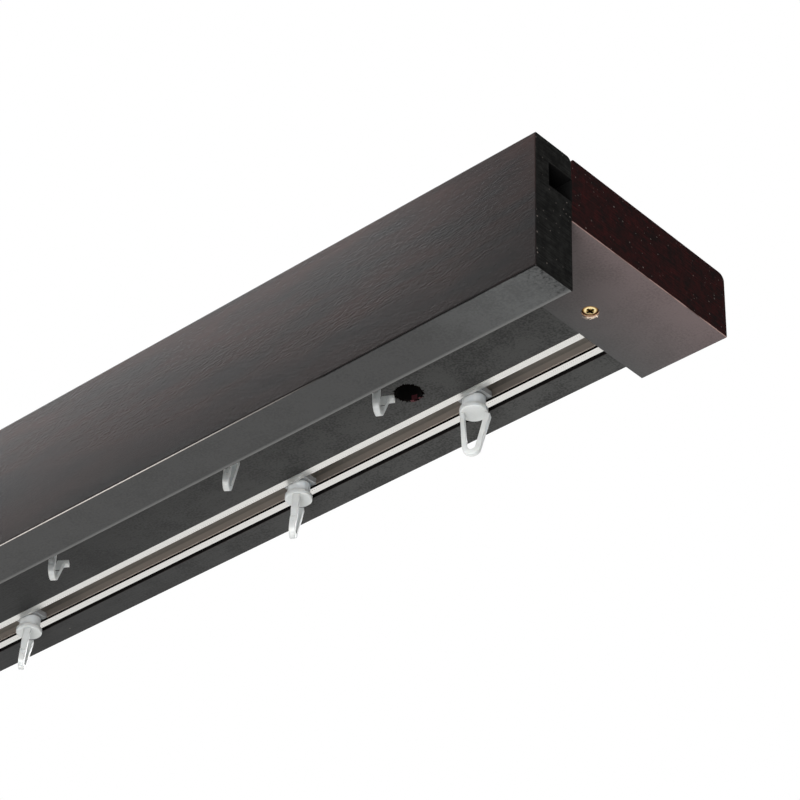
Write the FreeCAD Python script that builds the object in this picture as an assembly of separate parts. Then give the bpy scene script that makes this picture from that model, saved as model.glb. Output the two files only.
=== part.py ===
import FreeCAD, Part
import math
import os

# Wooden two-channel ceiling curtain track with a front pelmet board.
# Units are millimetres. X runs along the rail, Y from the room towards the wall, Z up.
# The origin is the middle of the ceiling face, so everything hangs below Z = 0.

# Rail as a whole
rail_length = 1200.0

# Pelmet board along the front, and the groove in its back face
fascia_height = 60.0
fascia_thickness = 20.0
fascia_edge_radius = 0.8
fascia_back_top_radius = 2.5
fascia_end_radius = 0.4
fascia_groove_height = 10.0
fascia_groove_depth = 12.5

# Base board that carries both channels
board_depth = 90.0
board_thickness = 20.0
tongue_length = 12.0
tongue_clearance = 0.1

# End blocks: a full-height shoulder outside the board and a flange under it
end_block_height = 28.8
end_block_shoulder = 17.0
end_block_flange = 23.0
end_block_edge_radius = 0.4
end_block_front_top_radius = 1.6
end_block_back_top_radius = 3.0

# Aluminium channels
channel_width = 14.6
channel_height = 12.0
channel_wall = 1.2
channel_lip_thickness = 1.1
channel_slot = 8.0
front_channel_inset = 27.4
rear_channel_inset = 69.2
channel_front_clearance = 0.1
channel_rear_gap = 2.1
channel_end_clearance = 0.3

# Screws that hold the channels up in the board
track_screws_per_channel = 4
track_screw_end_distance = 11.5
track_screw_head_diameter = 5.6
track_screw_head_height = 2.0
track_screw_shank_diameter = 2.9
track_screw_length = 6.5

# Screws that hold the end blocks to the board, with raised heads sunk below the surface
block_screw_head_diameter = 6.0
block_screw_head_land = 0.3
block_screw_crown = 0.5
block_screw_shank_diameter = 3.5
block_screw_length = 22.0
block_screw_sink = 0.7
block_screw_hole_diameter = 6.6

# What both kinds of screw share; the recess is given in parts of the head's diameter
screw_hole_clearance = 0.02
screw_point_length = 1.5
screw_recess_arm = 0.56
screw_recess_width = 0.16
screw_recess_depth = 1.0

# Ceiling fixing holes
ceiling_hole_count = 3
ceiling_hole_inset = 49.0
ceiling_hole_end_distance = 122.0
ceiling_hole_diameter = 5.0
ceiling_counterbore_diameter = 10.0
ceiling_counterbore_depth = 9.0

# Glider: a runner on the lips, and a boat-shaped neck down through the slot
runner_length = 12.0
runner_height = 2.4
runner_side_clearance = 0.4
runner_lift = 0.1
runner_corner = 2.0
neck_length = 10.0
neck_side_clearance = 0.2
neck_drop = 3.6

# Swivel hook: pin, snap head, disc, and the V-shaped clip below it. The clip is shut when its
# free arm is pressed up under the disc, with the arm's finger tab inside the disc's rim, and open
# when the arm has sprung out and down. Each tip is given as its distance from the swivel's axis
# and its drop below the disc. Shutting the clip twists its bend sideways.
swivel_clearance = 0.05
swivel_axial_gap = 0.15
hook_pin_diameter = 3.4
hook_head_diameter = 5.0
hook_head_height = 1.4
hook_disc_diameter = 11.2
hook_disc_thickness = 2.5
hook_disc_chamfer = 0.4
hook_drop = 18.2
hook_bend_radius = 3.7
hook_bend_offset = -0.9
hook_shank_thickness = 1.6
hook_free_thickness = 2.0
hook_shank_top_offset = -5.2
hook_shut_tip = (6.6, 0.6)
hook_shut_twist = 1.5
hook_open_tip = (10.2, 3.4)
hook_tip_slope = 0.7
hook_tab_length = 1.7
hook_tab_height = 1.7
hook_top_width = 3.2
hook_bottom_width = 2.4
hook_slit_drop = 10.3
hook_slit_height = 0.4
hook_slit_width = 1.6
hook_slit_depth = 0.5
hook_shank_step = 0.4
hook_shank_slant = 0.5
hook_dot_drop = 12.9
hook_dot_diameter = 0.5

# Gliders: distance of each from the right-hand end of the rail, the direction of its hook
# in degrees from +X towards the wall, and the state of its clip
front_gliders = (
    (117.1, 117.0, "open"),
    (196.0, 124.0, "shut"),
    (299.5, 124.0, "open"),
    (450.0, 90.0, "shut"),
    (620.0, 15.0, "shut"),
    (800.0, 95.0, "open"),
    (990.0, 75.0, "shut"),
)
rear_gliders = (
    (106.2, 31.0, "shut"),
    (200.4, 125.0, "shut"),
    (364.0, 131.0, "shut"),
    (510.0, 85.0, "shut"),
    (670.0, 100.0, "open"),
    (840.0, 8.0, "shut"),
    (1020.0, 95.0, "shut"),
)

# Places worked out from the sizes above
rail_depth = fascia_thickness + board_depth
front_face = -rail_depth / 2
fascia_back = front_face + fascia_thickness
wall_face = rail_depth / 2
board_underside = -board_thickness
end_block_length = end_block_shoulder + end_block_flange
board_length = rail_length - 2 * end_block_shoulder
front_channel_y = fascia_back + front_channel_inset
rear_channel_y = fascia_back + rear_channel_inset
lip_top = board_underside + channel_lip_thickness
runner_bottom = lip_top + runner_lift
runner_top = runner_bottom + runner_height
neck_bottom = board_underside - neck_drop
disc_top = neck_bottom - swivel_axial_gap
disc_bottom = disc_top - hook_disc_thickness
ceiling_hole_y = fascia_back + ceiling_hole_inset


def vec(x, y, z):
    return FreeCAD.Vector(x, y, z)


def box(low, high):
    """Box between two opposite corners."""
    size = [b - a for a, b in zip(low, high)]
    return Part.makeBox(size[0], size[1], size[2], vec(*low))


def cylinder(diameter, bottom, top, x=0.0, y=0.0):
    """Upright cylinder between two heights."""
    return Part.makeCylinder(diameter / 2, top - bottom, vec(x, y, bottom))


def along_rail(points, length):
    """Section given as (y, z) corners, carried along X and centred on the middle of the rail."""
    corners = [vec(-length / 2, y, z) for y, z in points]
    face = Part.Face(Part.makePolygon(corners + corners[:1]))
    return face.extrude(vec(length, 0, 0))


def long_edges(shape, places):
    """Edges parallel to X that lie at the given (y, z) places."""
    found = []
    for edge in shape.Edges:
        a = edge.Vertexes[0].Point
        b = edge.Vertexes[-1].Point
        if abs(a.y - b.y) > 0.001 or abs(a.z - b.z) > 0.001:
            continue
        if any(abs(a.y - y) < 0.001 and abs(a.z - z) < 0.001 for y, z in places):
            found.append(edge)
    return found


def make_fascia():
    """Pelmet board with eased edges and a groove in its back for the board's tongue."""
    groove_top = board_underside + fascia_groove_height
    groove_floor = fascia_back - fascia_groove_depth
    section = [
        (front_face, 0),
        (front_face, -fascia_height),
        (fascia_back, -fascia_height),
        (fascia_back, board_underside),
        (groove_floor, board_underside),
        (groove_floor, groove_top),
        (fascia_back, groove_top),
        (fascia_back, 0),
    ]
    solid = along_rail(section, rail_length)
    rounded = [(front_face, 0), (front_face, -fascia_height), (fascia_back, -fascia_height)]
    solid = solid.makeFillet(fascia_edge_radius, long_edges(solid, rounded))
    solid = solid.makeFillet(fascia_back_top_radius, long_edges(solid, [(fascia_back, 0)]))
    corners = [
        edge
        for edge in solid.Edges
        if abs(edge.Length - (fascia_height - 2 * fascia_edge_radius)) < 0.001
        and all(abs(v.Point.y - front_face) < 0.001 for v in edge.Vertexes)
    ]
    return solid.makeFillet(fascia_end_radius, corners)


def channel_groove(centre):
    """Groove in the board's underside, wider than the channel on the wall side."""
    front = centre - channel_width / 2 - channel_front_clearance
    rear = centre + channel_width / 2 + channel_rear_gap
    return box(
        (-board_length / 2 - 1, front, board_underside - 1),
        (board_length / 2 + 1, rear, board_underside + channel_height),
    )


def ceiling_hole_places():
    """X of each ceiling hole, spread evenly between the two outer ones."""
    reach = rail_length / 2 - ceiling_hole_end_distance
    step = 2 * reach / (ceiling_hole_count - 1)
    return [-reach + step * i for i in range(ceiling_hole_count)]


def make_base_board():
    """Board with a tongue on its front edge, two channel grooves and counterbored ceiling holes."""
    tongue_top = board_underside + fascia_groove_height - tongue_clearance
    tongue_bottom = board_underside + tongue_clearance
    tongue_front = fascia_back - tongue_length
    section = [
        (fascia_back, 0),
        (fascia_back, tongue_top),
        (tongue_front, tongue_top),
        (tongue_front, tongue_bottom),
        (fascia_back, tongue_bottom),
        (fascia_back, board_underside),
        (wall_face, board_underside),
        (wall_face, 0),
    ]
    solid = along_rail(section, board_length)
    cuts = [channel_groove(front_channel_y), channel_groove(rear_channel_y)]
    for x in ceiling_hole_places():
        cuts.append(cylinder(ceiling_hole_diameter, board_underside - 1, 1, x, ceiling_hole_y))
        counterbore_top = board_underside + ceiling_counterbore_depth
        cuts.append(
            cylinder(ceiling_counterbore_diameter, board_underside - 1, counterbore_top, x, ceiling_hole_y)
        )
    for x, y in block_screw_places():
        hole_top = block_screw_seat() + block_screw_length + screw_hole_clearance
        hole = block_screw_shank_diameter + 2 * screw_hole_clearance
        cuts.append(cylinder(hole, board_underside - 1, hole_top, x, y))
    for x, y in track_screw_places():
        hole_top = track_screw_seat() + track_screw_length + screw_hole_clearance
        hole = track_screw_shank_diameter + 2 * screw_hole_clearance
        cuts.append(cylinder(hole, board_underside - 1, hole_top, x, y))
    return solid.cut(cuts)


def make_channel(centre):
    """Extruded C-shaped channel, open at the bottom between its two lips."""
    half = channel_width / 2
    inner = half - channel_wall
    slot = channel_slot / 2
    top = board_underside + channel_height
    ceiling = top - channel_wall
    right = [
        (centre + slot, board_underside),
        (centre + half, board_underside),
        (centre + half, top),
    ]
    left = [
        (centre - half, top),
        (centre - half, board_underside),
        (centre - slot, board_underside),
        (centre - slot, lip_top),
        (centre - inner, lip_top),
        (centre - inner, ceiling),
    ]
    inside_right = [
        (centre + inner, ceiling),
        (centre + inner, lip_top),
        (centre + slot, lip_top),
    ]
    solid = along_rail(right + left + inside_right, board_length - 2 * channel_end_clearance)
    hole = track_screw_shank_diameter + 2 * screw_hole_clearance
    cuts = [
        cylinder(hole, ceiling - 1, top + 1, x, y) for x, y in track_screw_places() if y == centre
    ]
    return solid.cut(cuts)


def make_end_block():
    """Right-hand end block: full height outside the board, a flange under the board inside."""
    outer = rail_length / 2
    shoulder = board_length / 2
    inner = outer - end_block_length
    corners = [
        (outer, 0),
        (shoulder, 0),
        (shoulder, board_underside),
        (inner, board_underside),
        (inner, -end_block_height),
        (outer, -end_block_height),
    ]
    points = [vec(x, fascia_back, z) for x, z in corners]
    solid = Part.Face(Part.makePolygon(points + points[:1])).extrude(vec(0, board_depth, 0))
    eased = [
        edge
        for edge in solid.Edges
        if all(abs(v.Point.x - outer) < 0.001 for v in edge.Vertexes)
        and not all(abs(v.Point.y - fascia_back) < 0.001 for v in edge.Vertexes)
        and not all(abs(v.Point.z) < 0.001 for v in edge.Vertexes)
        and not all(abs(v.Point.y - wall_face) < 0.001 for v in edge.Vertexes)
    ]
    solid = solid.makeFillet(end_block_edge_radius, eased)
    solid = solid.makeFillet(end_block_front_top_radius, long_edges(solid, [(fascia_back, 0)]))
    solid = solid.makeFillet(end_block_back_top_radius, long_edges(solid, [(wall_face, 0)]))
    x, y = block_screw_places()[1]
    return solid.cut([cut.translated(vec(x, y, 0)) for cut in block_screw_cuts()])


def cross_recess(head_diameter, floor):
    """Cross cut up into a screw's head as far as the given height."""
    arm = head_diameter * screw_recess_arm / 2
    width = head_diameter * screw_recess_width / 2
    below = floor - head_diameter
    return [
        box((-arm, -width, below), (arm, width, floor)),
        box((-width, -arm, below), (width, arm, floor)),
    ]


def pan_head_screw():
    """Track screw pointing up, with its head's flat seat at Z = 0 and a cross recess below."""
    head = track_screw_head_diameter / 2
    shank = track_screw_shank_diameter / 2
    height = track_screw_head_height
    rim = height * 0.35
    crown = Part.Arc(
        vec(0, 0, -height),
        vec(head * 0.72, 0, -height * 0.76),
        vec(head, 0, -rim),
    )
    corners = [
        vec(head, 0, -rim),
        vec(head, 0, 0),
        vec(shank, 0, 0),
        vec(shank, 0, track_screw_length - screw_point_length),
        vec(0, 0, track_screw_length),
        vec(0, 0, -height),
    ]
    wire = Part.Wire([crown.toShape()] + Part.makePolygon(corners).Edges)
    solid = Part.Face(wire).revolve(vec(0, 0, 0), vec(0, 0, 1), 360)
    return solid.cut(cross_recess(track_screw_head_diameter, screw_recess_depth - height))


def countersunk_screw():
    """End block screw pointing up, with the rim of its raised head at Z = 0."""
    head = block_screw_head_diameter / 2
    shank = block_screw_shank_diameter / 2
    crown = Part.Arc(
        vec(0, 0, -block_screw_crown),
        vec(head / 2, 0, -block_screw_crown * 0.75),
        vec(head, 0, 0),
    )
    corners = [
        vec(head, 0, 0),
        vec(head, 0, block_screw_head_land),
        vec(shank, 0, block_screw_head_land + head - shank),
        vec(shank, 0, block_screw_length - screw_point_length),
        vec(0, 0, block_screw_length),
        vec(0, 0, -block_screw_crown),
    ]
    wire = Part.Wire([crown.toShape()] + Part.makePolygon(corners).Edges)
    solid = Part.Face(wire).revolve(vec(0, 0, 0), vec(0, 0, 1), 360)
    return solid.cut(cross_recess(block_screw_head_diameter, screw_recess_depth - block_screw_crown))


def block_screw_seat():
    """Height of the rim of an end block screw's head."""
    return block_screw_sink - end_block_height


def block_screw_cuts():
    """Sunk hole, cone and shank hole for an end block screw, at X = Y = 0."""
    head = block_screw_head_diameter / 2
    shank = block_screw_shank_diameter / 2
    cone_bottom = block_screw_seat() + block_screw_head_land
    cone = Part.makeCone(
        head + screw_hole_clearance,
        shank + screw_hole_clearance,
        head - shank,
        vec(0, 0, cone_bottom),
    )
    return [
        cylinder(block_screw_hole_diameter, -end_block_height - 1, cone_bottom),
        cone,
        cylinder(2 * (shank + screw_hole_clearance), cone_bottom, board_underside + 1),
    ]


def block_screw_places():
    """(x, y) of the end block screws, in the middle of each flange."""
    reach = board_length / 2 - end_block_flange / 2
    middle = fascia_back + board_depth / 2
    return [(-reach, middle), (reach, middle)]


def track_screw_seat():
    """Height of the channel's inner ceiling, where the track screws' heads bear."""
    return board_underside + channel_height - channel_wall


def track_screw_places():
    """(x, y) of the screws in both channels."""
    reach = board_length / 2 - track_screw_end_distance
    step = 2 * reach / (track_screws_per_channel - 1)
    along = [-reach + step * i for i in range(track_screws_per_channel)]
    return [(x, y) for y in (front_channel_y, rear_channel_y) for x in along]


def make_block_screws():
    one = countersunk_screw()
    places = block_screw_places()
    return Part.Compound([one.translated(vec(x, y, block_screw_seat())) for x, y in places])


def make_track_screws():
    one = pan_head_screw()
    places = track_screw_places()
    return Part.Compound([one.translated(vec(x, y, track_screw_seat())) for x, y in places])


def stadium(length, width, bottom, top):
    """Upright block whose plan is a straight-sided oval, long along X."""
    radius = width / 2
    reach = length / 2 - radius
    edges = [
        Part.LineSegment(vec(-reach, -radius, bottom), vec(reach, -radius, bottom)),
        Part.Arc(vec(reach, -radius, bottom), vec(reach + radius, 0, bottom), vec(reach, radius, bottom)),
        Part.LineSegment(vec(reach, radius, bottom), vec(-reach, radius, bottom)),
        Part.Arc(vec(-reach, radius, bottom), vec(-reach - radius, 0, bottom), vec(-reach, -radius, bottom)),
    ]
    wire = Part.Wire([edge.toShape() for edge in edges])
    return Part.Face(wire).extrude(vec(0, 0, top - bottom))


def make_glider():
    """Runner and neck in one moulding, with a stepped bore for the hook's pin, at X = Y = 0."""
    runner_width = channel_width - 2 * channel_wall - 2 * runner_side_clearance
    x = runner_length / 2
    y = runner_width / 2
    c = runner_corner
    plan = [(x, y - c), (x - c, y), (c - x, y), (-x, y - c), (-x, c - y), (c - x, -y), (x - c, -y), (x, c - y)]
    points = [vec(px, py, runner_bottom) for px, py in plan]
    runner = Part.Face(Part.makePolygon(points + points[:1])).extrude(vec(0, 0, runner_height))
    neck = stadium(neck_length, channel_slot - 2 * neck_side_clearance, neck_bottom, runner_bottom)
    bore = hook_pin_diameter + 2 * swivel_clearance
    return runner.fuse(neck).cut(cylinder(bore, neck_bottom - 1, runner_top + 1)).removeSplitter()


def tangent_angle(point, centre, radius, side):
    """Angle on a circle where the straight line from an outside point touches it."""
    across = point[0] - centre[0]
    down = point[1] - centre[1]
    turn = math.acos(radius / math.hypot(across, down))
    return math.atan2(down, across) + side * turn


def on_circle(centre, radius, angle):
    return (centre[0] + radius * math.cos(angle), centre[1] + radius * math.sin(angle))


def clip_outline(tip):
    """Wire of the V-shaped clip, seen square on: shank, bottom bend and free arm up to its tip."""
    bottom = disc_bottom - hook_drop
    centre = (hook_bend_offset, bottom + hook_bend_radius)
    inner_radius = hook_bend_radius - hook_free_thickness
    tip_outer = (tip[0], disc_bottom - tip[1] - hook_tip_slope)
    tip_inner = (tip[0] - hook_free_thickness, disc_bottom - tip[1])
    shank_outer = (hook_shank_top_offset, disc_bottom)
    shank_inner = (hook_shank_top_offset + hook_shank_thickness, disc_bottom)
    start = tangent_angle(shank_outer, centre, hook_bend_radius, 1)
    end = tangent_angle(tip_outer, centre, hook_bend_radius, -1)
    inner_start = tangent_angle(shank_inner, centre, inner_radius, 1)
    inner_end = tangent_angle(tip_inner, centre, inner_radius, -1)
    turn = 2 * math.pi
    arm = [on_circle(centre, hook_bend_radius, end), tip_outer, tip_inner]
    arm.append(on_circle(centre, inner_radius, inner_end))
    shank = [on_circle(centre, inner_radius, inner_start), shank_inner]
    shank += [shank_outer, on_circle(centre, hook_bend_radius, start)]
    arcs = [
        (hook_bend_radius, start, end),
        (inner_radius, inner_start, inner_end),
    ]
    edges = []
    for radius, first, last in arcs:
        last = last + turn if last < first else last
        ends = [on_circle(centre, radius, a) for a in (first, (first + last) / 2, last)]
        edges.append(Part.Arc(*[vec(x, 0, z) for x, z in ends]).toShape())
    for path in (arm, shank):
        edges += Part.makePolygon([vec(x, 0, z) for x, z in path]).Edges
    return Part.Wire(Part.__sortEdges__(edges))


def finger_tab(tip):
    """Tab that sticks out sideways from the free arm's tip, to press the clip open."""
    top = disc_bottom - tip[1]
    corners = [
        (tip[0] - hook_free_thickness, top),
        (tip[0], top - hook_tip_slope),
        (tip[0], top - hook_tip_slope - hook_tab_height),
        (tip[0] - hook_free_thickness, top - hook_tab_height),
    ]
    side = -hook_top_width / 2
    points = [vec(x, side - hook_tab_length, z) for x, z in corners]
    return Part.Face(Part.makePolygon(points + points[:1])).extrude(vec(0, hook_tab_length - side, 0))


def shank_marks(twist):
    """Cuts in the shank: a slit, a vent dot below it, and one edge set back above the slit.
    They follow the clip sideways by their share of its twist."""
    front = hook_shank_top_offset - 1
    back = hook_shank_top_offset + hook_slit_depth + hook_shank_slant
    slit_top = disc_bottom - hook_slit_drop
    slit_middle = twist * hook_slit_drop / hook_drop
    dot_middle = twist * hook_dot_drop / hook_drop
    side = slit_middle + hook_top_width / 2 - hook_shank_step
    slit = box(
        (front, slit_middle - hook_slit_width / 2, slit_top - hook_slit_height),
        (back, slit_middle + hook_slit_width / 2, slit_top),
    )
    step = box(
        (front, side, slit_top),
        (hook_shank_top_offset + 2 * hook_shank_thickness, side + hook_top_width, disc_bottom + 1),
    )
    dot = Part.makeCylinder(
        hook_dot_diameter / 2,
        back - front,
        vec(front, dot_middle, disc_bottom - hook_dot_drop),
        vec(1, 0, 0),
    )
    return [slit, step, dot]


def make_clip(tip, twist):
    """V-shaped clip, cut to a taper from the disc down to a bend that stands off by the twist."""
    half_top = hook_top_width / 2
    half_bottom = hook_bottom_width / 2
    bottom = disc_bottom - hook_drop
    sheet = Part.Face(clip_outline(tip))
    width = hook_top_width + 2 * twist
    clip = sheet.extrude(vec(0, width, 0)).translated(vec(0, -width / 2, 0))
    taper = [
        (-half_top, disc_bottom + 1),
        (half_top, disc_bottom + 1),
        (half_top, disc_bottom),
        (twist + half_bottom, bottom),
        (twist + half_bottom, bottom - 1),
        (twist - half_bottom, bottom - 1),
        (twist - half_bottom, bottom),
        (-half_top, disc_bottom),
    ]
    reach = 2 * hook_disc_diameter
    points = [vec(-reach, y, z) for y, z in taper]
    wedge = Part.Face(Part.makePolygon(points + points[:1])).extrude(vec(2 * reach, 0, 0))
    return clip.common(wedge)


def make_hook(state):
    """Pin, snap head, disc and clip in one moulding, with the clip's free arm towards +X."""
    if state == "shut":
        clip = make_clip(hook_shut_tip, hook_shut_twist).cut(shank_marks(hook_shut_twist))
    else:
        clip = make_clip(hook_open_tip, 0).fuse(finger_tab(hook_open_tip)).cut(shank_marks(0))
    disc = cylinder(hook_disc_diameter, disc_bottom, disc_top)
    rims = [e for e in disc.Edges if len(e.Vertexes) == 1]
    disc = disc.makeChamfer(hook_disc_chamfer, rims)
    head_seat = runner_top + swivel_axial_gap
    pin = cylinder(hook_pin_diameter, disc_top - 1, head_seat)
    head = Part.makeCone(
        hook_head_diameter / 2, hook_pin_diameter / 2, hook_head_height, vec(0, 0, head_seat)
    )
    return disc.fuse([pin, head, clip]).removeSplitter()


def write(name, shape):
    shape.exportStep(os.path.join("parts", name + ".step"))


def main():
    os.makedirs("parts", exist_ok=True)
    block = make_end_block()
    write("fascia", make_fascia())
    write("base_board", make_base_board())
    write("track_front", make_channel(front_channel_y))
    write("track_rear", make_channel(rear_channel_y))
    write("end_block_right", block)
    write("end_block_left", block.mirror(vec(0, 0, 0), vec(1, 0, 0)))
    write("end_block_screws", make_block_screws())
    write("track_screws", make_track_screws())
    glider = make_glider()
    hooks = {state: make_hook(state) for state in ("shut", "open")}
    rows = (("front", front_channel_y, front_gliders), ("rear", rear_channel_y, rear_gliders))
    for row, y, gliders in rows:
        for number, (distance, direction, state) in enumerate(gliders, 1):
            place = vec(rail_length / 2 - distance, y, 0)
            write(f"glider_{row}_{number}", glider.translated(place))
            turned = hooks[state].copy()
            turned.rotate(vec(0, 0, 0), vec(0, 0, 1), direction)
            write(f"hook_{row}_{number}", turned.translated(place))


main()
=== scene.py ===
import math

import bpy
import numpy as np
from mathutils import Matrix, Vector


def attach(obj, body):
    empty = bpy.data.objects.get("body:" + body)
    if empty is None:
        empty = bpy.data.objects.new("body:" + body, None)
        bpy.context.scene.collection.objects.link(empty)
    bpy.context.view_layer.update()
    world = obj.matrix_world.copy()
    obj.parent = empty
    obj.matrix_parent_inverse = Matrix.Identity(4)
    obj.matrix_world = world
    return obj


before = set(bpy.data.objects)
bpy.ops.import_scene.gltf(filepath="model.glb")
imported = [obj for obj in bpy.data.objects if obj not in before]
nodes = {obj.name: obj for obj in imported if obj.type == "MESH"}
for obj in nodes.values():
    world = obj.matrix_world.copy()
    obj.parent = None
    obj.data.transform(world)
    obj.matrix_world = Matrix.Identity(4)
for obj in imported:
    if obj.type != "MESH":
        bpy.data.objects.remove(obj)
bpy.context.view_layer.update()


# The photograph's viewpoint
# A camera stands below and in front of the rail's right-hand end and looks up along it.
# Its place, turn and lens come from fitting a plain pinhole camera to the edges of the boards.
view_place = Vector((1.0968, -0.6502, -0.6658))
view_yaw, view_pitch, view_roll = (math.radians(a) for a in (43.183, 35.285, 1.595))
sensor_width_mm, focal_length_px, picture_width_px = 36.0, 2877.8, 800
ahead = Vector((
    -math.sin(view_yaw) * math.cos(view_pitch),
    math.cos(view_yaw) * math.cos(view_pitch),
    math.sin(view_pitch),
))
level = Vector((math.cos(view_yaw), math.sin(view_yaw), 0))
upward = level.cross(ahead)
rightward = level * math.cos(view_roll) + upward * math.sin(view_roll)
overhead = upward * math.cos(view_roll) - level * math.sin(view_roll)
camera = bpy.data.objects.new("camera", bpy.data.cameras.new("camera"))
camera.data.sensor_width = sensor_width_mm
camera.data.lens = sensor_width_mm * focal_length_px / picture_width_px
camera.data.clip_start = 0.01
camera.matrix_world = (
    Matrix.Translation(view_place) @ Matrix((rightward, overhead, -ahead)).transposed().to_4x4()
)
bpy.context.scene.collection.objects.link(camera)
bpy.context.scene.camera = camera


# Pelmet board
# The wide board that faces the room: planed beech, stained to a wenge brown and sprayed with matt
# lacquer. Its long edges are eased by hand, and its sawn ends soak up stain until they are near black.
def linear(code):
    """Linear colour of an sRGB hex code: a channel is divided by 12.92 near black, and above
    that 0.055 is added, the sum divided by 1.055 and raised to the power 2.4."""
    channels = [int(code[i : i + 2], 16) / 255 for i in (1, 3, 5)]
    return [c / 12.92 if c <= 0.04045 else ((c + 0.055) / 1.055) ** 2.4 for c in channels] + [1.0]


def wire(tree, node, inputs):
    """Fills each input of a node with a value or a link. Another node given as the value stands
    for the first of its outputs that its settings leave in use."""
    for socket, value in inputs.items():
        if isinstance(value, bpy.types.Node):
            value = next(output for output in value.outputs if output.enabled)
        if isinstance(value, bpy.types.NodeSocket):
            tree.links.new(value, node.inputs[socket])
        else:
            node.inputs[socket].default_value = value


def add(tree, kind, inputs, **settings):
    """Adds a shader node, sets its properties and wires its inputs."""
    made = tree.nodes.new("ShaderNode" + kind)
    for name, value in settings.items():
        setattr(made, name, value)
    wire(tree, made, inputs)
    return made


def new_material(name):
    """Material with its node tree and its Principled shader, in linear colour."""
    made = bpy.data.materials.new(name)
    made.use_nodes = True
    return made, made.node_tree, made.node_tree.nodes["Principled BSDF"]


def surface(tree):
    """The place of a point on its piece in metres, the parts of that place along X, Y and Z, and
    the parts of the normal there."""
    spot = add(tree, "TexCoord", {})
    place = add(tree, "SeparateXYZ", {0: spot.outputs["Object"]})
    facing = add(tree, "SeparateXYZ", {0: spot.outputs["Normal"]})
    return spot.outputs["Object"], place.outputs, facing.outputs


def drawn_out(tree, here, axis, length_mm, width_mm):
    """The place, divided by a length along one axis and by a width across it, so that the spots of
    a noise of scale 1 come out that long and that wide."""
    scale = [1000 / width_mm] * 3
    scale["XYZ".index(axis)] = 1000 / length_mm
    return add(tree, "Mapping", {"Vector": here, "Scale": scale})


def upright_stain(tree, here, height, axis, deep, warm):
    """Stain on upright faces: the colour, the fibres and the share of pores. Bands 60 mm long and
    9 mm wide turn the stain from deep to warm. Fibres 0.55 mm wide shade it, and so does a painted
    shade and light that runs from 0.35 at the pelmet board's lower edge to 1.1 at its top. Pores
    0.42 mm wide and 5 mm long, as coarse as they need to show, are dark."""
    stretch = drawn_out(tree, here, axis, length_mm=60, width_mm=9)
    band = add(tree, "TexNoise", {"Vector": stretch, "Scale": 1, "Detail": 3, "Roughness": 0.55})
    banded = add(tree, "MapRange", {"Value": band, "From Min": 0.36, "From Max": 0.66})
    stain = add(tree, "Mix", {0: banded, 6: deep, 7: warm}, data_type="RGBA")
    stretch = drawn_out(tree, here, axis, length_mm=22, width_mm=0.55)
    fibre = add(tree, "TexNoise", {"Vector": stretch, "Scale": 1, "Detail": 3, "Roughness": 0.6})
    fibre_shade = add(
        tree, "MapRange", {"Value": fibre, "From Min": 0.3, "From Max": 0.7, "To Min": 0.86, "To Max": 1.12}
    )
    # painted light and shade: the stain is darker towards the lower edge and lighter at the top
    painted_light_by_height = add(
        tree, "MapRange", {"Value": height, "From Min": -0.06, "From Max": 0, "To Min": 0.35, "To Max": 1.1}
    )
    shade = add(tree, "Math", {0: fibre_shade, 1: painted_light_by_height}, operation="MULTIPLY")
    shaded = add(tree, "Mix", {0: 1.0, 6: stain, 7: shade}, data_type="RGBA", blend_type="MULTIPLY")
    stretch = drawn_out(tree, here, axis, length_mm=5, width_mm=0.42)
    pore = add(tree, "TexNoise", {"Vector": stretch, "Scale": 1, "Detail": 1})
    pored = add(tree, "MapRange", {"Value": pore, "From Min": 0.60, "From Max": 0.72})
    colour = add(tree, "Mix", {0: pored, 6: shaded, 7: linear("#1a1615")}, data_type="RGBA")
    return colour, fibre, pored


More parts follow.
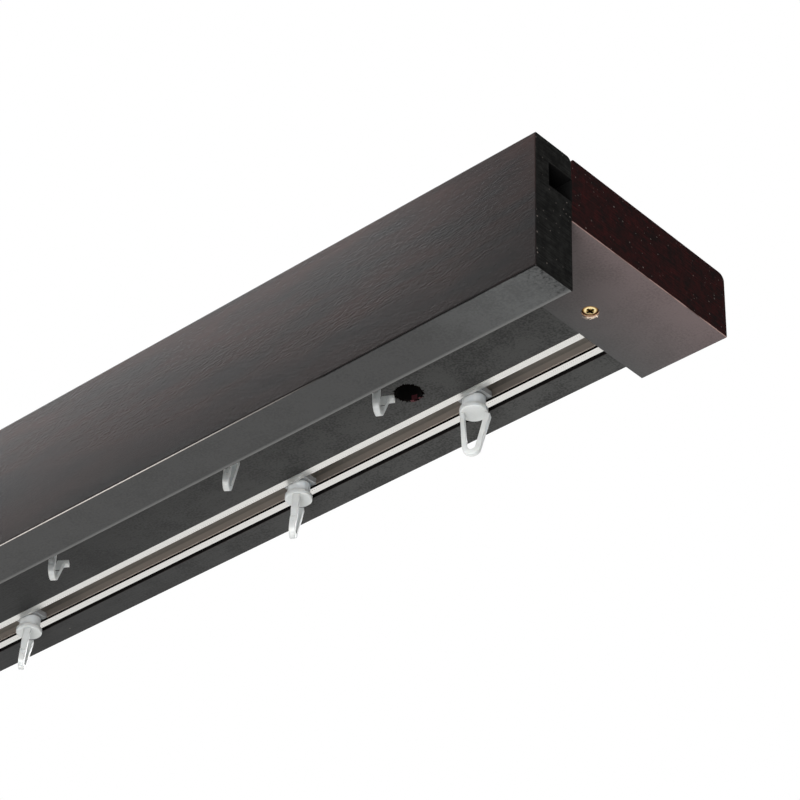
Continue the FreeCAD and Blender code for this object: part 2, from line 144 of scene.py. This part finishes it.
def underside_coat(tree, here, place, out, under, lit_near_end, mottle, blots, lit_end_span):
    """Thin sprayed coat on faces that look down. Between two distances from the rail's middle it turns
    from the tone under to a paler tone near the ends, which is painted light. Specks of 0.9 mm in
    clouds of 14 mm darken it by the share mottle, and by twice that near the ends. Blots of 1.5 mm
    darken it beside the room's edge and the ends, and a paler line 1 mm wide lies along the pelmet
    board's other edge: both have the strength blots."""
    cloud = add(tree, "TexNoise", {"Vector": here, "Scale": 1000 / 14, "Detail": 2, "Roughness": 0.5})
    speck = add(tree, "TexNoise", {"Vector": here, "Scale": 1000 / 0.9, "Detail": 1, "Roughness": 0.5})
    speckled = add(tree, "Math", {0: cloud, 1: speck}, operation="ADD")
    # painted light: the coat turns paler near the ends and darker towards the rail's middle, and its mottle
    # deepens near the ends
    lit_end_share = add(tree, "MapRange", {"Value": out, "From Min": lit_end_span[0], "From Max": lit_end_span[1]})
    darkest = add(tree, "MapRange", {"Value": lit_end_share, "To Min": 1 - mottle, "To Max": 1 - 2 * mottle})
    shade = add(
        tree,
        "MapRange",
        {"Value": speckled, "From Min": 0.75, "From Max": 1.1, "To Min": darkest, "To Max": 1.1},
    )
    coat = add(tree, "Mix", {0: lit_end_share, 6: under, 7: lit_near_end}, data_type="RGBA")
    mottled = add(tree, "Mix", {0: 1.0, 6: coat, 7: shade}, data_type="RGBA", blend_type="MULTIPLY")
    by_room = add(tree, "MapRange", {"Value": place["Y"], "From Min": -0.0535, "From Max": -0.0552})
    by_end = add(tree, "MapRange", {"Value": out, "From Min": 0.588, "From Max": 0.601})
    by_edge = add(tree, "Math", {0: by_room, 1: by_end}, operation="MAXIMUM")
    blot = add(tree, "TexNoise", {"Vector": here, "Scale": 1000 / 1.5, "Detail": 3, "Roughness": 0.6})
    blotted = add(tree, "Math", {0: by_edge, 1: 0.3, 2: blot}, operation="MULTIPLY_ADD")
    blot_share = add(
        tree, "MapRange", {"Value": blotted, "From Min": 0.68, "From Max": 0.9, "To Max": blots}
    )
    dark_blotted = add(tree, "Mix", {0: blot_share, 6: mottled, 7: linear("#0d0c0c")}, data_type="RGBA")
    back_line = add(tree, "MapRange", {"Value": place["Y"], "From Min": -0.0372, "From Max": -0.0360})
    back_line_share = add(tree, "Math", {0: back_line, 1: blots}, operation="MULTIPLY")
    return add(tree, "Mix", {0: back_line_share, 6: dark_blotted, 7: linear("#6a6a69")}, data_type="RGBA")


def sawn_end(tree, here, ends):
    """Faces across the length. Streaks that the saw left, 0.5 mm wide and 14 mm long, multiplied by
    smudges of 5 mm, shade the tone ends from 0.4 to 3.4 times."""
    stretch = drawn_out(tree, here, "Y", length_mm=14, width_mm=0.5)
    streak = add(tree, "TexNoise", {"Vector": stretch, "Scale": 1, "Detail": 4, "Roughness": 0.65})
    smudge = add(tree, "TexNoise", {"Vector": here, "Scale": 1000 / 5, "Detail": 4, "Roughness": 0.7})
    smudged = add(tree, "Math", {0: smudge, 1: streak}, operation="MULTIPLY")
    shade = add(
        tree,
        "MapRange",
        {"Value": smudged, "From Min": 0.18, "From Max": 0.42, "To Min": 0.4, "To Max": 3.4},
    )
    return add(tree, "Mix", {0: 1.0, 6: ends, 7: shade}, data_type="RGBA", blend_type="MULTIPLY")


def edges_with_highlight(tree, here, facing, across, out, axis, colour, edge, blots):
    """Edges rounded by hand. Where a face looks half out and half up or down, in patches of 12 by
    3 mm, the stain turns to the tone edge. Away from the ends, the pelmet board's lower edge carries
    a painted highlight, a pale line where it turns under, with the strength blots."""
    outward = add(tree, "Math", {0: facing["Y"], 1: -1.0}, operation="MULTIPLY")
    level_part = add(tree, "Math", {0: outward, 1: across}, operation="MAXIMUM")
    tilt = add(tree, "Math", {0: level_part, 1: facing["Z"]}, operation="MULTIPLY")
    tilt_size = add(tree, "Math", {0: tilt}, operation="ABSOLUTE")
    stretch = drawn_out(tree, here, axis, length_mm=12, width_mm=3)
    patch = add(tree, "TexNoise", {"Vector": stretch, "Scale": 1, "Detail": 3})
    edge_patch = add(tree, "Math", {0: tilt_size, 1: patch}, operation="MULTIPLY")
    edge_share = add(tree, "MapRange", {"Value": edge_patch, "From Min": 0.14, "From Max": 0.24})
    edged = add(tree, "Mix", {0: edge_share, 6: colour, 7: edge}, data_type="RGBA")
    # painted highlight: a pale line where the pelmet board's lower edge turns under, away from the ends
    turned = add(tree, "MapRange", {"Value": facing["Z"], "From Min": -0.6, "From Max": -0.75})
    rounded = add(tree, "MapRange", {"Value": outward, "From Min": 0.25, "From Max": 0.42})
    inner = add(tree, "MapRange", {"Value": out, "From Min": 0.50, "From Max": 0.40, "To Max": blots})
    line = add(tree, "Math", {0: turned, 1: rounded}, operation="MULTIPLY")
    highlight_share = add(tree, "Math", {0: line, 1: inner}, operation="MULTIPLY")
    return add(tree, "Mix", {0: highlight_share, 6: edged, 7: linear("#cbc4be")}, data_type="RGBA")


def sanding_dust(tree, here, end_share, colour):
    """Pale specks left by sanding. In cells of 1.8 mm, a disc of chance radius between 0.08 and 0.2
    of a cell is kept in 3 of 1000 cells, and in 7 of 10 on end faces, with a chance strength."""
    cell = add(tree, "TexVoronoi", {"Vector": here, "Scale": 1000 / 1.8})
    chance = add(tree, "SeparateColor", {0: cell.outputs["Color"]}).outputs
    radius = add(tree, "MapRange", {"Value": chance["Blue"], "To Min": 0.08, "To Max": 0.2})
    within = add(tree, "Math", {0: cell.outputs["Distance"], 1: radius}, operation="LESS_THAN")
    left_out = add(tree, "MapRange", {"Value": end_share, "To Min": 0.997, "To Max": 0.3})
    kept = add(tree, "Math", {0: chance["Red"], 1: left_out}, operation="GREATER_THAN")
    speck = add(tree, "Math", {0: within, 1: kept}, operation="MULTIPLY")
    strength = add(tree, "Math", {0: chance["Green"], 1: 2.0}, operation="POWER")
    share = add(tree, "Math", {0: speck, 1: strength}, operation="MULTIPLY")
    return add(tree, "Mix", {0: share, 6: colour, 7: linear("#857c77")}, data_type="RGBA")


def raw_and_shaded_hollows(tree, place, out, hollows, colour, bare):
    """Colour and share of bare wood once the hollows are raw. Each is the middle and half size of a
    box, mirrored in X = 0, and a tone: the raw wood's own in holes and torn patches, and near black
    in the deep grooves, where it is painted shade over the raw wood. A point is within where its
    distance from the middle, less the half size, is below zero along all three axes."""
    folded = add(tree, "CombineXYZ", {0: out, 1: place["Y"], 2: place["Z"]})
    for middle, half, tone in hollows:
        off = add(tree, "VectorMath", {0: folded, 1: middle}, operation="SUBTRACT")
        distance = add(tree, "VectorMath", {0: off}, operation="ABSOLUTE")
        beyond = add(tree, "VectorMath", {0: distance, 1: half}, operation="SUBTRACT")
        parts = add(tree, "SeparateXYZ", {0: beyond}).outputs
        beyond_yz = add(tree, "Math", {0: parts["Y"], 1: parts["Z"]}, operation="MAXIMUM")
        beyond_any = add(tree, "Math", {0: beyond_yz, 1: parts["X"]}, operation="MAXIMUM")
        within = add(tree, "Math", {0: beyond_any, 1: 0.0}, operation="LESS_THAN")
        colour = add(tree, "Mix", {0: within, 6: colour, 7: linear(tone)}, data_type="RGBA")
        bare = add(tree, "Math", {0: bare, 1: within}, operation="MAXIMUM")
    return colour, bare


def grain_relief(tree, here, out, axis, fibre, pored):
    """Relief of fibres with sunk pores, and over it the short raised grain of 2.4 by 0.9 mm that the
    first coat leaves, which is strongest near the ends."""
    stretch = drawn_out(tree, here, axis, length_mm=2.4, width_mm=0.9)
    raised = add(tree, "TexNoise", {"Vector": stretch, "Scale": 1, "Detail": 3, "Roughness": 0.6})
    strength = add(tree, "MapRange", {"Value": out, "From Min": 0.44, "From Max": 0.59, "To Min": 0.75})
    height = add(tree, "Math", {0: raised, 1: strength}, operation="MULTIPLY")
    fine = add(tree, "Math", {0: pored, 1: -0.4, 2: fibre}, operation="MULTIPLY_ADD")
    fine_bump = add(tree, "Bump", {"Height": fine, "Strength": 0.2, "Distance": 0.00005})
    return add(
        tree, "Bump", {"Height": height, "Strength": 0.5, "Distance": 0.00019, "Normal": fine_bump}
    )


def stained_wood(name, tones, gloss, shine, grain_axis, mottle, blots, lit_end_span, hollows):
    """Stained and lacquered wood in the tones deep, warm, under, lit_near_end, ends and edge, where the
    underside's paler tone near the ends is painted light. A face takes its coat by the way it looks:
    upright, down, or across the length. Then come edge tones with a painted highlight, dust, and
    hollows, raw and in the deep grooves painted near black as shade. Roughness is the gloss, give or
    take 0.05 with the fibres, and 1 on what stays without the last coat: end faces, hollows and all
    that looks to the wall."""
    made, tree, shader = new_material(name)
    deep, warm, under, lit_near_end, ends, edge = (linear(tone) for tone in tones)
    here, place, facing = surface(tree)
    out = add(tree, "Math", {0: place["X"]}, operation="ABSOLUTE")
    across = add(tree, "Math", {0: facing["X"]}, operation="ABSOLUTE")
    down_share = add(tree, "MapRange", {"Value": facing["Z"], "From Min": -0.8, "From Max": -0.97})
    end_share = add(tree, "MapRange", {"Value": across, "From Min": 0.8, "From Max": 0.95})
    behind = add(tree, "MapRange", {"Value": facing["Y"], "From Min": 0.02, "From Max": 0.2})

    upright, fibre, pored = upright_stain(tree, here, place["Z"], grain_axis, deep, warm)
    underside = underside_coat(tree, here, place, out, under, lit_near_end, mottle, blots, lit_end_span)
    coated = add(tree, "Mix", {0: down_share, 6: upright, 7: underside}, data_type="RGBA")
    ended = add(tree, "Mix", {0: end_share, 6: coated, 7: sawn_end(tree, here, ends)}, data_type="RGBA")
    edged = edges_with_highlight(tree, here, facing, across, out, grain_axis, ended, edge, blots)
    dusted = sanding_dust(tree, here, end_share, edged)
    colour, bare = raw_and_shaded_hollows(tree, place, out, hollows, dusted, end_share)

    dull = add(tree, "Math", {0: bare, 1: behind}, operation="MAXIMUM")
    lacquered = add(
        tree,
        "MapRange",
        {"Value": fibre, "From Min": 0.3, "From Max": 0.7, "To Min": gloss - 0.05, "To Max": gloss + 0.05},
    )
    roughness = add(tree, "Mix", {0: dull, 2: lacquered, 3: 1.0}, data_type="FLOAT")
    relief = grain_relief(tree, here, out, grain_axis, fibre, pored)
    wire(tree, shader, {"Base Color": colour, "Roughness": roughness, "Normal": relief})
    wire(tree, shader, {"IOR": 1.5, "Specular IOR Level": shine})
    return made


def give(node, made):
    """Puts a finish on every material slot of a node of the frame."""
    for slot in nodes[node].material_slots:
        slot.material = made


# the hollow is the groove in the board's back, which shows beyond the end of the tongue; it is
# raw, and painted near black as the deep shade in it
give(
    "fascia",
    stained_wood(
        "wenge_stained_beech_lacquered",
        tones=("#1c1a1b", "#2c1e1c", "#383838", "#4a4b4b", "#191918", "#070606"),
        gloss=0.22,
        shine=0.12,
        grain_axis="X",
        mottle=0.09,
        blots=0.8,
        lit_end_span=(0.54, 0.58),
        hollows=(((0, -0.04135, -0.015), (1, 0.0064, 0.0052), "#010101"),),
    ),
)


# Base board
# The plain board that is screwed to the ceiling, with a tongue glued into the pelmet board's groove.
# Its underside is only sprayed once, so it looks duller and greyer, and its grooves and holes stay raw.
# The hollows are all that lies above the underside, raw and painted near black as the deep shade
# in the grooves and holes, and a torn patch in each outer counterbore.
give(
    "base_board",
    stained_wood(
        "wenge_stained_beech_sprayed",
        tones=("#2a2423", "#332826", "#262626", "#3b3b3a", "#141211", "#2b2a29"),
        gloss=0.5,
        shine=0.16,
        grain_axis="X",
        mottle=0.3,
        blots=0.0,
        lit_end_span=(0.24, 0.46),
        hollows=(
            ((0, 0.0035, -0.0099), (1, 0.0511, 0.0098), "#050303"),
            ((0.4767, 0.0188, -0.0188), (0.0012, 0.0010, 0.0012), "#4a2228"),
        ),
    ),
)


# End blocks
# Short rebated blocks that close the board's ends, with their grain from the room to the wall. They
# are sanded finer than the boards and show the red of the stain. The hollows are the hole that the
# screw's head is sunk in, and the face that shows through the pelmet board's groove, painted near
# black as the shade in the groove.
block_screw_x, block_screw_y = 0.5715, 0.010
block_wood = stained_wood(
    "wenge_stained_block",
    tones=("#2c1f1d", "#35211e", "#424141", "#5c5050", "#200404", "#9a7f78"),
    gloss=0.42,
    shine=0.18,
    grain_axis="Y",
    mottle=0.08,
    blots=0.0,
    lit_end_span=(0.56, 0.598),
    hollows=(
        ((block_screw_x, block_screw_y, -0.0284), (0.0034, 0.0034, 0.00035), "#d0a98e"),
        ((0.592, -0.035, -0.015), (0.009, 0.0002, 0.0052), "#010101"),
    ),
)
for side in ("left", "right"):
    give("end_block_" + side, block_wood)


# Torn wood
# Rims that the drill tore: stain is missing in a ragged ring round each ceiling counterbore, and
# chips of bare beech still hang at the wall side of each hole, paler on the end blocks.
def raw_beech(name, dark, pale):
    """Bare torn beech. Fibres 0.3 mm wide and 2 mm long along Y turn it from dark to pale."""
    made, tree, shader = new_material(name)
    stretch = drawn_out(tree, surface(tree)[0], "Y", length_mm=2, width_mm=0.3)
    fibre = add(tree, "TexNoise", {"Vector": stretch, "Scale": 1, "Detail": 2})
    tone = add(tree, "Mix", {0: fibre, 6: linear(dark), 7: linear(pale)}, data_type="RGBA")
    wire(tree, shader, {"Base Color": tone, "Roughness": 1.0, "Specular IOR Level": 0.0})
    return made


def thin_sheets(name, points, made, thickness, closed=False):
    """Piece of the rail from one or more grids of points, each rows by columns by three in
    metres, with a face between each four neighbours that looks down, and a thickness above it.
    In a closed sheet the last column of each grid joins the first."""
    grids = points.reshape(-1, *points.shape[-3:])
    corner = np.arange(grids.size // 3).reshape(grids.shape[:3])
    if closed:
        corner = np.concatenate([corner, corner[:, :, :1]], axis=2)
    sides = [corner[:, :-1, :-1], corner[:, :-1, 1:], corner[:, 1:, 1:], corner[:, 1:, :-1]]
    faces = np.stack(sides, axis=-1).reshape(-1, 4)
    mesh = bpy.data.meshes.new(name)
    mesh.from_pydata(grids.reshape(-1, 3).tolist(), [], faces.tolist())
    mesh.materials.append(made)
    placed = bpy.data.objects.new(name, mesh)
    bpy.context.scene.collection.objects.link(placed)
    solid = placed.modifiers.new("thickness", "SOLIDIFY")
    solid.thickness = thickness
    solid.offset = -1
    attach(placed, "rail")


ceiling_holes = (("left", -0.478), ("middle", 0.0), ("right", 0.478))
ceiling_hole_y = 0.014
counterbore_radius, sunk_hole_radius = 0.0050, 0.0033
board_underside, block_underside = -0.0200, -0.0288
dice = np.random.default_rng(7)
torn_dark = raw_beech("torn_beech_stained", dark="#020101", pale="#0a0605")
for side, hole_x in ceiling_holes:
    # the ring runs from just inside the hole's rim to a radius between 0.5 and 1.4 mm beyond it,
    # which a mean of waves of chance phase makes ragged
    turn = np.linspace(0, 2 * np.pi, 144, endpoint=False)
    waves = np.arange(3, 60, 4)[:, None]
    ripple = np.cos(waves * turn + dice.uniform(0, 2 * np.pi, waves.shape)).mean(axis=0)
    outer = counterbore_radius + 0.0005 + 0.0009 * np.clip(ripple * 3 + 0.3, 0, 1)
    radius = np.stack([np.full_like(turn, counterbore_radius - 0.00002), outer])
    points = np.stack(
        [
            hole_x + radius * np.cos(turn),
            ceiling_hole_y + radius * np.sin(turn),
            np.full_like(radius, board_underside - 0.00003),
        ],
        axis=-1,
    )
    thin_sheets("torn_rim_" + side, points, torn_dark, thickness=0.00002, closed=True)


def torn_chips(name, middle, rim, count, towards, made):
    """Chips at the rim of a hole with that middle and radius, turned about that many degrees from
    +X. Each is a blade: it leaves the rim outwards to a chance length, narrows as the power 0.7 of
    what is left of it, bends sideways as the square of the share run and curls down as its power
    1.5."""
    each = (count, 1, 1)
    turn = np.radians(dice.normal(towards, 20, each))
    length, half = dice.uniform(0.0004, 0.0012, each), dice.uniform(0.0002, 0.0005, each)
    lift, bend = dice.uniform(0.0001, 0.0004, each), dice.uniform(-0.7, 0.7, each)
    along, side = np.meshgrid(np.linspace(0, 1, 7), np.linspace(-1, 1, 3), indexing="ij")
    reach = rim + length * along
    swing = turn + bend * along**2 + side * half * (1 - along) ** 0.7 / reach
    drop = middle[2] - lift * along**1.5 - 0.00005 * side**2
    points = np.stack(
        [middle[0] + reach * np.cos(swing), middle[1] + reach * np.sin(swing), drop], axis=-1
    )
    thin_sheets("chips_" + name, points, made, thickness=0.00003)


torn_pale = raw_beech("torn_beech_bare", dark="#d9bfa8", pale="#fff2e2")
torn_pink = raw_beech("torn_beech_half_stained", dark="#4a2a2e", pale="#8a5a60")
inside_rim = 0.0001
for side, hole_x in (("left", -block_screw_x), ("right", block_screw_x)):
    torn_chips(
        "sunk_hole_" + side,
        (hole_x, block_screw_y, block_underside),
        rim=sunk_hole_radius - inside_rim,
        count=14,
        towards=128,
        made=torn_pale,
    )
for side, hole_x in ceiling_holes:
    torn_chips(
        "counterbore_" + side,
        (hole_x, ceiling_hole_y, board_underside - 0.00006),
        rim=counterbore_radius - inside_rim,
        count=4,
        towards=113,
        made=torn_pink,
    )


# Channels
# Two C-shaped channels that carry the gliders: extruded aluminium with its mill finish. The die
# leaves straight lines along the whole length, drawn 0.7 mm wide so that they show, and upright
# faces are dulled by oxide. A painted shade darkens the lips' edges, and a painted highlight lies
# as a bright line on the wall above them.
mill_metal, tree, shader = new_material("extruded_aluminium_mill_finish")
here, place, facing = surface(tree)
stretch = drawn_out(tree, here, "X", length_mm=900, width_mm=0.7)
lines = add(tree, "TexNoise", {"Vector": stretch, "Scale": 1, "Detail": 1, "Roughness": 0.6})
tone = add(tree, "Mix", {0: lines, 6: linear("#c2c0bd"), 7: linear("#d9d8d5")}, data_type="RGBA")
steep = add(tree, "Math", {0: facing["Z"]}, operation="ABSOLUTE")
upright = add(tree, "Math", {0: steep, 1: 0.5}, operation="LESS_THAN")
# heights between which an upright face changes to a tone, from the lips up: painted shade on the
# lips' edges, a painted highlight line on the wall, dull brown oxide, and grey oxide above
bands = (
    (-0.0212, -0.0211, "#1a1411"),
    (-0.0185, -0.0184, "#fbf2ea"),
    (-0.0164, -0.0162, "#bcb3ac"),
    (-0.0134, -0.0132, "#a29d97"),
    (-0.0122, -0.0121, "#aca7a1"),
)
for low, high, band_tone in bands:
    above = add(tree, "MapRange", {"Value": place["Z"], "From Min": low, "From Max": high})
    share = add(tree, "Math", {0: above, 1: upright}, operation="MULTIPLY")
    tone = add(tree, "Mix", {0: share, 6: tone, 7: linear(band_tone)}, data_type="RGBA")
bright = add(
    tree, "MapRange", {"Value": lines, "From Min": 0.3, "From Max": 0.7, "To Min": 0.22, "To Max": 0.36}
)
roughness = add(tree, "Mix", {0: upright, 2: bright, 3: 0.55}, data_type="FLOAT")
relief = add(tree, "Bump", {"Height": lines, "Strength": 0.06, "Distance": 0.00003})
wire(tree, shader, {"Base Color": tone, "Roughness": roughness, "Normal": relief, "Metallic": 1.0})
for row in ("front", "rear"):
    give("track_" + row, mill_metal)


# Screws
# Pan-head steel screws with a cross recess: yellow-passivated ones hold the end blocks, and
# zinc-plated ones hold the channels. Plating leaves a faint mottle on both.
def plated_steel(name, thin, thick, roughness, rings):
    """Plated steel. A mottle 0.8 mm wide turns the plating from thin to thick, and faces that
    stand upright, such as the recess's walls, are painted dark as shade. Each ring is two radii
    round the axis of an end block's screw, between which the plating changes to the ring's tone."""
    made, tree, shader = new_material(name)
    here, place, facing = surface(tree)
    mottle = add(tree, "TexNoise", {"Vector": here, "Scale": 1000 / 0.8, "Detail": 3})
    plating = add(tree, "Mix", {0: mottle, 6: linear(thin), 7: linear(thick)}, data_type="RGBA")
    out = add(tree, "Math", {0: place["X"]}, operation="ABSOLUTE")
    folded = add(tree, "CombineXYZ", {0: out, 1: place["Y"]})
    axis_place = (block_screw_x, block_screw_y, 0)
    radius = add(tree, "VectorMath", {0: folded, 1: axis_place}, operation="DISTANCE")
    for inner, outer, ring_tone in rings:
        share = add(tree, "MapRange", {"Value": radius, "From Min": inner, "From Max": outer})
        plating = add(tree, "Mix", {0: share, 6: plating, 7: linear(ring_tone)}, data_type="RGBA")
    steep = add(tree, "Math", {0: facing["Z"]}, operation="ABSOLUTE")
    upright = add(tree, "Math", {0: steep, 1: 0.5}, operation="LESS_THAN")
    # painted shade: faces that stand upright, such as the recess's walls, are dark
    tone = add(tree, "Mix", {0: upright, 6: plating, 7: linear("#2a2014")}, data_type="RGBA")
    rough = add(
        tree, "MapRange", {"Value": mottle, "To Min": roughness - 0.06, "To Max": roughness + 0.08}
    )
    wire(tree, shader, {"Base Color": tone, "Roughness": rough, "Metallic": 1.0})
    return made


# painted light and shade on the heads: a painted highlight on the flat middle, painted shade on
# the rounded rim, and deeper painted shade where the head meets its hole
painted_head_rings = ((0.0013, 0.0016, "#e8d5a2"), (0.0021, 0.0024, "#94703f"), (0.0025, 0.0028, "#4a3519"))
give(
    "end_block_screws",
    plated_steel(
        "yellow_passivated_steel", thin="#6b5224", thick="#8a6c38", roughness=0.3, rings=painted_head_rings
    ),
)
give(
    "track_screws",
    plated_steel("zinc_plated_steel", thin="#b9bcc0", thick="#d8dade", roughness=0.32, rings=()),
)


# Gliders and hooks
# Each glider is a runner with a neck, and each hook a pin, a disc and a V-shaped clip, moulded in
# uncoloured nylon. The plastic lets some light in, so thin edges look brighter and shadows soft.
def moulded_nylon(name, thick, thin, roughness, shade):
    """Natural nylon. A mottle 2.5 mm wide shifts the colour a little, and a grain of 0.15 mm
    gives the sheen of a sparked mould. Each band of shade is a lowest and highest height in metres,
    a least upright part of the normal, and the tone of what lies in it."""
    made, tree, shader = new_material(name)
    here, place, facing = surface(tree)
    mottle = add(tree, "TexNoise", {"Vector": here, "Scale": 1000 / 2.5, "Detail": 2})
    tone = add(tree, "Mix", {0: mottle, 6: linear(thick), 7: linear(thin)}, data_type="RGBA")
    steep = add(tree, "Math", {0: facing["Z"]}, operation="ABSOLUTE")
    for low, high, least, band_tone in shade:
        above = add(tree, "Math", {0: place["Z"], 1: low}, operation="GREATER_THAN")
        below = add(tree, "Math", {0: place["Z"], 1: high}, operation="LESS_THAN")
        turned = add(tree, "Math", {0: steep, 1: least}, operation="GREATER_THAN")
        band = add(tree, "Math", {0: above, 1: below}, operation="MULTIPLY")
        share = add(tree, "Math", {0: band, 1: turned}, operation="MULTIPLY")
        tone = add(tree, "Mix", {0: share, 6: tone, 7: linear(band_tone)}, data_type="RGBA")
    grain = add(tree, "TexNoise", {"Vector": here, "Scale": 1000 / 0.15, "Detail": 1})
    relief = add(tree, "Bump", {"Height": grain, "Strength": 0.15, "Distance": 0.00002})
    rough = add(
        tree, "MapRange", {"Value": mottle, "To Min": roughness - 0.05, "To Max": roughness + 0.07}
    )
    wire(tree, shader, {"Base Color": tone, "Roughness": rough, "Normal": relief, "IOR": 1.53})
    wire(tree, shader, {"Subsurface Weight": 1.0, "Subsurface Scale": 0.004})
    wire(tree, shader, {"Subsurface Radius": (0.9, 0.95, 1.0)})
    return made


# the runners are painted grey as the shade inside the channels, and the hooks are painted dark
# with the shade in the slit and at the dot that the mould leaves in each shank
runner_painted_shade = ((-0.0195, 0.0, -1.0, "#8f9192"),)
shank_shade_and_mould_dot = ((-0.0356, -0.0350, 0.7, "#2a211b"), (-0.0382, -0.0376, 0.3, "#2a211b"))
glider_nylon = moulded_nylon(
    "natural_nylon_glider", thick="#d3d8da", thin="#e0e4e6", roughness=0.45, shade=runner_painted_shade
)
hook_nylon = moulded_nylon(
    "natural_nylon_hook", thick="#ced1d0", thin="#dbdddc", roughness=0.42, shade=shank_shade_and_mould_dot
)
for name in nodes:
    if name.startswith("glider_"):
        give(name, glider_nylon)
    elif name.startswith("hook_"):
        give(name, hook_nylon)


# Studio
# A pale floor far enough below that the low viewpoint stands above it, soft lamps on all sides,
# and a black flag beside the rail's end. None of it is part of the object.
def lamp(name, place, aim, wide, high, watts):
    """Soft lamp of that width and height that shines from its place towards a point."""
    made = bpy.data.objects.new(name, bpy.data.lights.new(name, "AREA"))
    made.data.shape = "RECTANGLE"
    made.data.size = wide
    made.data.size_y = high
    made.data.energy = watts
    made.location = place
    made.rotation_euler = (Vector(aim) - Vector(place)).to_track_quat("-Z", "Y").to_euler()
    made.visible_camera = False
    bpy.context.scene.collection.objects.link(made)


def card(name, corners, made):
    """Flat four-sided card for the studio."""
    mesh = bpy.data.meshes.new(name)
    mesh.from_pydata(corners, [], [(0, 1, 2, 3)])
    mesh.materials.append(made)
    placed = bpy.data.objects.new(name, mesh)
    bpy.context.scene.collection.objects.link(placed)
    return placed


def seen_share(tree):
    """1 for what is seen straight, mirrored or through something clear, and 0 for the light that
    falls on the rail, so that the background is white and the light is dimmer."""
    path = add(tree, "LightPath", {}).outputs
    seen = add(tree, "Math", {0: path["Is Camera Ray"], 1: path["Is Glossy Ray"]}, operation="MAXIMUM")
    return add(tree, "Math", {0: seen, 1: path["Is Transmission Ray"]}, operation="MAXIMUM")


# the softbox mirrors in the pelmet board's lacquer and lights its front from the top down
lamp("key_lamp", place=(0.9, -1.2, -0.75), aim=(0.3, 0, -0.03), wide=0.8, high=0.8, watts=26)
lamp("near_softbox", place=(-0.65, -0.30, 0.40), aim=(-0.65, 2.0, 0.40), wide=1.9, high=0.27, watts=7)
lamp("right_lamp", place=(0.6, -0.2, -1.2), aim=(0.5, 0, -0.03), wide=0.6, high=0.6, watts=0.5)
lamp("top_lamp", place=(0, 0.2, 1.4), aim=(0, 0, 0), wide=1.2, high=1.2, watts=8)
lamp("back_lamp", place=(-0.4, 1.5, 0.6), aim=(0, 0, 0), wide=1.0, high=1.0, watts=14)

# matt paint that glows a little where it is seen, so the background is white and shadows stay
floor_paint, tree, shader = new_material("pale_floor_paint")
glow = add(tree, "MapRange", {"Value": seen_share(tree), "To Min": 0.0, "To Max": 0.6})
wire(tree, shader, {"Base Color": linear("#ececea"), "Roughness": 0.8})
wire(tree, shader, {"Emission Color": (1, 1, 1, 1), "Emission Strength": glow})
# seen from below, the paint is clear, so that a low viewpoint still shows the rail
below = add(tree, "NewGeometry", {}).outputs["Backfacing"]
clear = add(tree, "BsdfTransparent", {})
either = add(tree, "MixShader", {0: below, 1: shader, 2: clear})
wire(tree, tree.nodes["Material Output"], {"Surface": either})
floor_half, floor_height = 6.0, -1.35
square = ((-1, -1), (1, -1), (1, 1), (-1, 1))
card("floor", [(x * floor_half, y * floor_half, floor_height) for x, y in square], floor_paint)

# dull black cloth beside the right-hand end, which keeps the faces there dark
flag_cloth, tree, shader = new_material("black_flag_cloth")
wire(tree, shader, {"Base Color": linear("#050505"), "Roughness": 1.0, "Specular IOR Level": 0.0})
flag_x, flag_y, flag_z = 1.25, (-0.5, 1.6), (-0.35, 1.3)
flag_corners = [(flag_x, flag_y[i], flag_z[j]) for i, j in ((0, 0), (1, 0), (1, 1), (0, 1))]
card("flag", flag_corners, flag_cloth).visible_camera = False

world = bpy.data.worlds.new("studio")
world.use_nodes = True
tree = world.node_tree
strength = add(tree, "MapRange", {"Value": seen_share(tree), "To Min": 0.4, "To Max": 1.0})
wire(tree, tree.nodes["Background"], {"Color": (1, 1, 1, 1), "Strength": strength})
bpy.context.scene.world = world
bpy.context.scene.view_settings.view_transform = "Standard"
